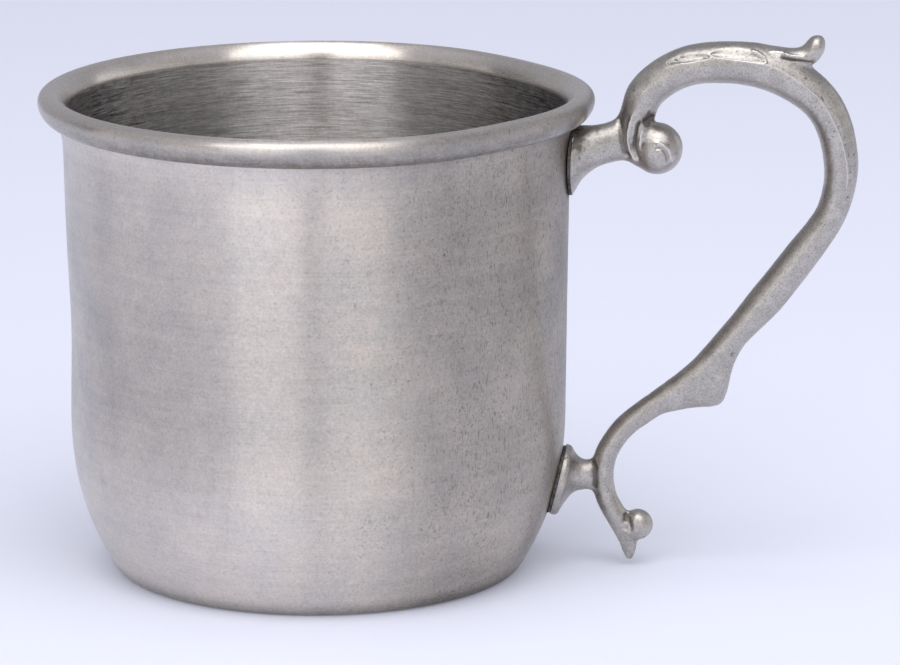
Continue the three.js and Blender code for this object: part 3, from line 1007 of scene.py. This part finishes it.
def millimetres(tree):
    """Places on the piece, in millimetres."""
    place = add_node(tree, "TexCoord").outputs["Object"]
    return add_node(tree, "VectorMath", {0: place, "Scale": 1 / MM}, operation="SCALE").outputs[0]


def cloud(tree, place, size, detail):
    """Noise with patches of a size in millimetres."""
    inputs = {"Vector": place, "Scale": 1 / size, "Detail": detail, "Roughness": CLOUD_ROUGHNESS}
    return add_node(tree, "TexNoise", inputs).outputs["Fac"]


def attribute(tree, name):
    """A number that the mesh keeps at each of its corners."""
    return add_node(tree, "Attribute", attribute_name=name).outputs["Fac"]


def turned_lines(length, width, detail):
    """Noise drawn out round the cup: lines of a length and a width in millimetres."""
    stretched = add_node(tree, "CombineXYZ", {
        "X": maths(tree, "DIVIDE", place_parts["X"], length),
        "Y": maths(tree, "DIVIDE", place_parts["Y"], length),
        "Z": maths(tree, "DIVIDE", along, width),
    }).outputs[0]
    inputs = {"Vector": stretched, "Scale": 1.0, "Detail": detail, "Roughness": LINE_ROUGHNESS}
    return add_node(tree, "TexNoise", inputs).outputs["Fac"]


place_mm = millimetres(tree)
place_parts = add_node(tree, "SeparateXYZ", {0: place_mm}).outputs
along = attribute(tree, "along")
fine_lines = turned_lines(length=8.0, width=0.16, detail=3.0)
broad_lines = turned_lines(length=30.0, width=0.8, detail=4.0)
short_lines = turned_lines(length=2.0, width=0.13, detail=2.0)
clouds = cloud(tree, place_mm, size=7.0, detail=5.0)
inner = attribute(tree, "inner")
sheet_colour = tint(tree, spread(tree, clouds, *CLOUD_RANGE), SPUN_WARM, SPUN_COOL)
# The inside gets a lighter colour than the outside: painted light.
sheet_colour = tint(tree, inner, sheet_colour, SPUN_INSIDE_PAINTED_LIGHTER)
print("lines and clouds of the spun sheet")

# %% Specks, strokes and scratches of the sheet
SPECK_COLOUR = (0.16, 0.145, 0.13, 1.0)
HANDLE_SIDE_X = (-8.0, 20.0)
PATCH_RANGE = (0.36, 0.62)
PATCH_SHARE = 0.65
EVEN_SHARE = 0.35
RIM_SPECKS = 0.1
SMALL_SPECKS = (0.54, 0.72)
LARGE_SPECKS = (0.62, 0.72)
LARGE_SHARE = 0.8
SPECK_SHARE = 0.75
STROKE_SCALE = (3.6, 3.6, 1.3)
STROKE_X = (8.0, 24.0)
STROKE_RANGE = (0.55, 0.72)
STROKE_SHARE = 0.7
SCRATCH_TURN = (0.0, math.radians(52), 0.0)
SCRATCH_SCALE = (0.03, 0.03, 1.6)
SCRATCH_WIDTH = 0.012
STRETCHED_DETAIL = 2.0
NOISE_MIDDLE = 0.5


def stretched_noise(mapping):
    """Noise on places that are turned and stretched first."""
    moved = add_node(tree, "Mapping", {"Vector": place_mm, **mapping}).outputs[0]
    inputs = {"Vector": moved, "Scale": 1.0, "Detail": STRETCHED_DETAIL}
    return add_node(tree, "TexNoise", inputs).outputs["Fac"]


bead_mark = attribute(tree, "bead")
lip_mark = attribute(tree, "lip")
outer = minus(tree, 1.0, plus(tree, plus(tree, inner, bead_mark), lip_mark))
handle_side = spread(tree, place_parts["X"], *HANDLE_SIDE_X)
patch_cloud = cloud(tree, place_mm, size=6.0, detail=4.0)
patches = times(tree, spread(tree, patch_cloud, *PATCH_RANGE), handle_side)
patches = plus(tree, times(tree, patches, PATCH_SHARE), EVEN_SHARE)
patches = times(tree, patches, spread(tree, outer, 0.0, 1.0, RIM_SPECKS, 1.0))
small_specks = spread(tree, cloud(tree, place_mm, size=0.32, detail=2.0), *SMALL_SPECKS)
large_specks = spread(tree, cloud(tree, place_mm, size=0.75, detail=3.0), *LARGE_SPECKS)
specks = plus(tree, small_specks, times(tree, large_specks, LARGE_SHARE))
specks = times(tree, times(tree, specks, SPECK_SHARE), patches)

stroke_noise = stretched_noise({"Scale": STROKE_SCALE})
stroke_side = times(tree, spread(tree, place_parts["X"], *STROKE_X), outer)
strokes = times(tree, spread(tree, stroke_noise, *STROKE_RANGE), stroke_side)
specks = plus(tree, specks, times(tree, strokes, STROKE_SHARE))

scratch_noise = stretched_noise({"Rotation": SCRATCH_TURN, "Scale": SCRATCH_SCALE})
scratch_line = maths(tree, "ABSOLUTE", minus(tree, scratch_noise, NOISE_MIDDLE))
scratches = times(tree, spread(tree, scratch_line, 0.0, SCRATCH_WIDTH, 1.0, 0.0), patches)
print("specks, strokes and scratches of the spun sheet")

# %% Painted shade and light on the sheet
HANDLE_SIDE_SHADE_Z = (22.0, 46.0)
HANDLE_SIDE_SHADE_TOP_Z = (47.0, 57.0)
HANDLE_SIDE_SHADE_TOP_SHARE = 0.35
INSIDE_RIGHT_X = (12.0, 31.0)
INSIDE_RIGHT_PAINTED_SHADE = 0.72
INSIDE_LEFT_X = (-31.0, -14.0)
INSIDE_LEFT_PAINTED_SHADE = 0.54
WAIST_START_Z = (16.0, 27.0)
WAIST_END_Z = (30.0, 44.0)
WAIST_PAINTED_SHADE = 0.07
BASE_Z = (10.0, 24.0)
BASE_PAINTED_LIGHT = 0.14
TOP_Z = (43.0, 54.0)
TOP_PAINTED_LIGHT = 0.14
EDGE_Z = (0.2, 2.4)
BASE_EDGE_PAINTED_SHADE = 0.4
LOW_RIGHT_SHADE_X = (4.0, 22.0)
LOW_RIGHT_SHADE_Z = (1.0, 10.0)
LOW_RIGHT_PAINTED_SHADE = 0.25

# Painted shade on the outer wall of the handle side, from 22 mm up, weaker near the rim.
shaded_handle = times(tree, handle_side, spread(tree, place_parts["Z"], *HANDLE_SIDE_SHADE_Z))
shaded_handle = times(tree, shaded_handle, spread(tree, place_parts["Z"], *HANDLE_SIDE_SHADE_TOP_Z, 1.0, HANDLE_SIDE_SHADE_TOP_SHARE))
shaded_handle = times(tree, shaded_handle, outer)
# Painted shade at the inside's left and right ends.
painted_right_end_shade = spread(tree, place_parts["X"], *INSIDE_RIGHT_X, 0.0, INSIDE_RIGHT_PAINTED_SHADE)
painted_left_end_shade = spread(tree, place_parts["X"], *INSIDE_LEFT_X, INSIDE_LEFT_PAINTED_SHADE, 0.0)
painted_inside_shade = times(tree, plus(tree, painted_right_end_shade, painted_left_end_shade), inner)

# Painted light on the lower wall and under the bead, and painted shade round the middle, all away from the
# handle.
waist = spread(tree, place_parts["Z"], *WAIST_START_Z)
waist = minus(tree, waist, spread(tree, place_parts["Z"], *WAIST_END_Z))
painted_light_and_shade = spread(tree, place_parts["Z"], *BASE_Z, BASE_PAINTED_LIGHT, 0.0)
painted_light_and_shade = minus(tree, painted_light_and_shade, times(tree, waist, WAIST_PAINTED_SHADE))
painted_top_light = times(tree, spread(tree, place_parts["Z"], *TOP_Z, 0.0, TOP_PAINTED_LIGHT), outer)
painted_light_and_shade = plus(tree, painted_light_and_shade, painted_top_light)
painted_light_and_shade = times(tree, painted_light_and_shade, minus(tree, 1.0, handle_side))

# Painted shade along the bottom edge, deeper and higher up on the handle side.
painted_low_right_shade = times(tree, spread(tree, place_parts["X"], *LOW_RIGHT_SHADE_X), outer)
painted_low_right_shade = times(tree, painted_low_right_shade, spread(tree, place_parts["Z"], *LOW_RIGHT_SHADE_Z, LOW_RIGHT_PAINTED_SHADE, 0.0))
painted_base_edge_shade = plus(tree, spread(tree, place_parts["Z"], *EDGE_Z, BASE_EDGE_PAINTED_SHADE, 0.0), painted_low_right_shade)
print("the inside loses", INSIDE_LEFT_PAINTED_SHADE, "and", INSIDE_RIGHT_PAINTED_SHADE, "of its brightness at its ends")

# %% Shade of the sheet
LINE_OUTSIDE = 0.24
LINE_INSIDE = 1.35
GRAIN_SHARE = 0.45
MOTTLE_SHARE = 0.25
HANDLE_SIDE_PAINTED_SHADE = 0.12
BEAD_PAINTED_SHADE = 0.5
BEAD_MOTTLE = (0.8, 1.2)
LIP_PAINTED_HIGHLIGHT = 0.22
LIP_MOTTLE = 0.5
SPECK_DEPTH = 0.7
SCRATCH_DEPTH = 0.25

outer_lines = times(tree, minus(tree, plus(tree, fine_lines, broad_lines), 1.0), LINE_OUTSIDE)
inner_lines = times(tree, minus(tree, plus(tree, fine_lines, short_lines), 1.0), LINE_INSIDE)
all_lines = add_node(tree, "Mix", {0: inner, 2: outer_lines, 3: inner_lines}).outputs[0]
# The inside's painted shade comes off here, and the outer wall's painted light and shade are added next.
shade = minus(tree, plus(tree, 1.0, all_lines), painted_inside_shade)
shade = plus(tree, shade, minus(tree, painted_light_and_shade, painted_base_edge_shade))
sheet_grain = cloud(tree, place_mm, size=0.35, detail=2.0)
mottle = cloud(tree, place_mm, size=1.3, detail=4.0)
for noise_value, part in ((sheet_grain, GRAIN_SHARE), (mottle, MOTTLE_SHARE)):
    shade = plus(tree, shade, times(tree, minus(tree, noise_value, NOISE_MIDDLE), part))
# The bead's face gets painted shade, varied by a mottle of tarnish.
bead_mottle = spread(tree, mottle, *CLOUD_RANGE, *BEAD_MOTTLE)
bead_shade_and_tarnish = times(tree, times(tree, bead_mark, bead_mottle), BEAD_PAINTED_SHADE)
# The handle side's painted shade and the bead's painted shade come off the shade here.
shade = minus(tree, shade, plus(tree, times(tree, shaded_handle, HANDLE_SIDE_PAINTED_SHADE), bead_shade_and_tarnish))
# The lip is painted lighter as a painted highlight, with a real mottle of tarnish.
lip_cloud = times(tree, minus(tree, clouds, NOISE_MIDDLE), LIP_MOTTLE)
shade = plus(tree, shade, times(tree, lip_mark, plus(tree, lip_cloud, LIP_PAINTED_HIGHLIGHT)))
shade_colour = add_node(tree, "CombineColor", {0: shade, 1: shade, 2: shade}).outputs[0]
sheet_colour = tint(tree, 1.0, sheet_colour, shade_colour, "MULTIPLY")
sheet_colour = tint(tree, times(tree, specks, SPECK_DEPTH), sheet_colour, SPECK_COLOUR)
sheet_colour = tint(tree, times(tree, scratches, SCRATCH_DEPTH), sheet_colour, SPUN_WARM)
print("the lip gains", LIP_PAINTED_HIGHLIGHT, "and the held side loses", HANDLE_SIDE_PAINTED_SHADE, "of its brightness")

# %% Shader of the sheet
LINE_SUM = (0.7, 1.3)
SHEET_ROUGHNESS = (0.28, 0.37)
HELD_ROUGHNESS = 0.18
RIM_POLISH = 0.05
SHEET_BUMP = {"Strength": 0.25, "Distance": 0.02 * MM}
ANISOTROPY = 0.95


def dress(tree, shader, sources):
    """Makes a shader bare metal, and links what colours it, roughens it and tilts its surface."""
    shader.inputs["Metallic"].default_value = 1.0
    for socket, source in sources.items():
        tree.links.new(source, shader.inputs[socket])


sheet_roughness = spread(tree, plus(tree, fine_lines, clouds), *LINE_SUM, *SHEET_ROUGHNESS)
dullness = times(tree, times(tree, handle_side, outer), HELD_ROUGHNESS)
sheet_roughness = plus(tree, sheet_roughness, dullness)
rim_polish = times(tree, plus(tree, bead_mark, lip_mark), RIM_POLISH)
sheet_roughness = minus(tree, sheet_roughness, rim_polish)
sheet_height = plus(tree, fine_lines, broad_lines)
sheet_height = minus(tree, sheet_height, plus(tree, specks, scratches))
sheet_bump = add_node(tree, "Bump", {**SHEET_BUMP, "Height": sheet_height})
tangent = add_node(tree, "Tangent", direction_type="UV_MAP", uv_map="spinning")

shader.inputs["Anisotropic"].default_value = ANISOTROPY
dress(tree, shader, {
    "Base Color": sheet_colour,
    "Roughness": sheet_roughness,
    "Normal": sheet_bump.outputs[0],
    "Tangent": tangent.outputs[0],
})
body_piece.data.materials.append(spun)
print("spun pewter has", len(tree.nodes), "nodes")

# %% [markdown]
# ## Cast pewter
# The casting was polished by hand, so it has no direction: it is satin, a little darker than the sheet, with
# fine pits from the mould. Polish reaches the high places and leaves the hollows dark, so the depth that the
# carving wrote decides between a bright and a tarnished colour.

# %% Marks of the casting
CAST_BRIGHT = (0.61, 0.575, 0.535, 1.0)
CAST_PLAIN = (0.455, 0.427, 0.398, 1.0)
CAST_DARK = (0.09, 0.08, 0.07, 1.0)
SMEAR_RANGE = (0.38, 0.66)
SMEAR_SHARE = 0.6
GRIT_RANGE = (0.4, 0.72)
GRIT_SHARE = 0.42
GRIT_TARNISH = 0.4
PIT_PLACES = (0.5, 0.62)
PIT_RANGE = (0.62, 0.7)
PIT_SHARE = 0.6
TARNISH_RANGE = (0.4, 1.25)
POLISH_RANGE = (-0.2, -0.9)
WORN_SHARE = 0.8

cast, tree, shader = new_finish("cast pewter")
place_mm = millimetres(tree)
recess_and_shade_depth = attribute(tree, "recess_and_shade")
smears = cloud(tree, place_mm, size=1.8, detail=6.0)
grit = cloud(tree, place_mm, size=0.22, detail=3.0)
pit_places = spread(tree, cloud(tree, place_mm, size=3.5, detail=2.0), *PIT_PLACES)
pits = times(tree, spread(tree, cloud(tree, place_mm, size=0.6, detail=2.0), *PIT_RANGE), pit_places)
# The recess mark is mostly tarnish in the hollows, and in places painted shade, such as the rim's shadow on
# the arm.
tarnish_and_shade = plus(tree, recess_and_shade_depth, times(tree, grit, GRIT_TARNISH))
tarnish_and_shade = spread(tree, tarnish_and_shade, *TARNISH_RANGE)
polish = spread(tree, recess_and_shade_depth, *POLISH_RANGE)
cast_colour = tint(tree, spread(tree, smears, *SMEAR_RANGE, 0.0, SMEAR_SHARE), CAST_PLAIN, CAST_BRIGHT)
cast_colour = tint(tree, spread(tree, grit, *GRIT_RANGE, 0.0, GRIT_SHARE), cast_colour, CAST_DARK)
cast_colour = tint(tree, times(tree, polish, WORN_SHARE), cast_colour, CAST_BRIGHT)
cast_colour = tint(tree, times(tree, tarnish_and_shade, WORN_SHARE), cast_colour, CAST_DARK)
cast_colour = tint(tree, times(tree, pits, PIT_SHARE), cast_colour, CAST_DARK)
print("smears, grit, pits and tarnish of the casting")

# %% Shader of the casting
TARNISH_ROUGHNESS = 0.5
CAST_DULLNESS = (0.35, 1.0)
CAST_ROUGHNESS = (0.35, 0.5)
POLISH_GAIN = 0.1
CAST_BUMP = {"Strength": 0.5, "Distance": 0.04 * MM}

cast_roughness = plus(tree, smears, times(tree, tarnish_and_shade, TARNISH_ROUGHNESS))
cast_roughness = spread(tree, cast_roughness, *CAST_DULLNESS, *CAST_ROUGHNESS)
cast_roughness = minus(tree, cast_roughness, times(tree, polish, POLISH_GAIN))
cast_height = minus(tree, plus(tree, grit, smears), pits)
cast_bump = add_node(tree, "Bump", {**CAST_BUMP, "Height": cast_height})
dress(tree, shader, {
    "Base Color": cast_colour,
    "Roughness": cast_roughness,
    "Normal": cast_bump.outputs[0],
})
handle_piece.data.materials.append(cast)
print("cast pewter has", len(tree.nodes), "nodes")

# %% [markdown]
# ## Solder finish
# Solder is a softer, duller grey than the pewter and has never been polished inside the seam, so it is
# rougher and darker, with a grainy surface. Its near-black tone also stands for the shade in the gap round
# each seat: painted shade.

# %% Dull solder
SOLDER_LIGHT = (0.22, 0.205, 0.19, 1.0)
SOLDER_DARK = (0.07, 0.065, 0.06, 1.0)
SOLDER_DULLNESS = (0.3, 0.7)
SOLDER_ROUGHNESS = (0.45, 0.65)
SOLDER_BUMP = {"Strength": 0.4, "Distance": 0.05 * MM}

solder, tree, shader = new_finish("dull solder")
grains = cloud(tree, millimetres(tree), size=0.4, detail=4.0)
# The solder is painted near-black: its own dark grey, deepened by painted shade in the seam's gap.
solder_and_seam_shade_colour = tint(tree, spread(tree, grains, *CLOUD_RANGE), SOLDER_DARK, SOLDER_LIGHT)
solder_roughness = spread(tree, grains, *SOLDER_DULLNESS, *SOLDER_ROUGHNESS)
solder_bump = add_node(tree, "Bump", {**SOLDER_BUMP, "Height": grains})
dress(tree, shader, {
    "Base Color": solder_and_seam_shade_colour,
    "Roughness": solder_roughness,
    "Normal": solder_bump.outputs[0],
})
for piece in solder_pieces:
    piece.data.materials.append(solder)
print("dull solder has", len(tree.nodes), "nodes")

# %% [markdown]
# ## Last update
# The view layer is updated once more at the end.

# %% Update
bpy.context.view_layer.update()
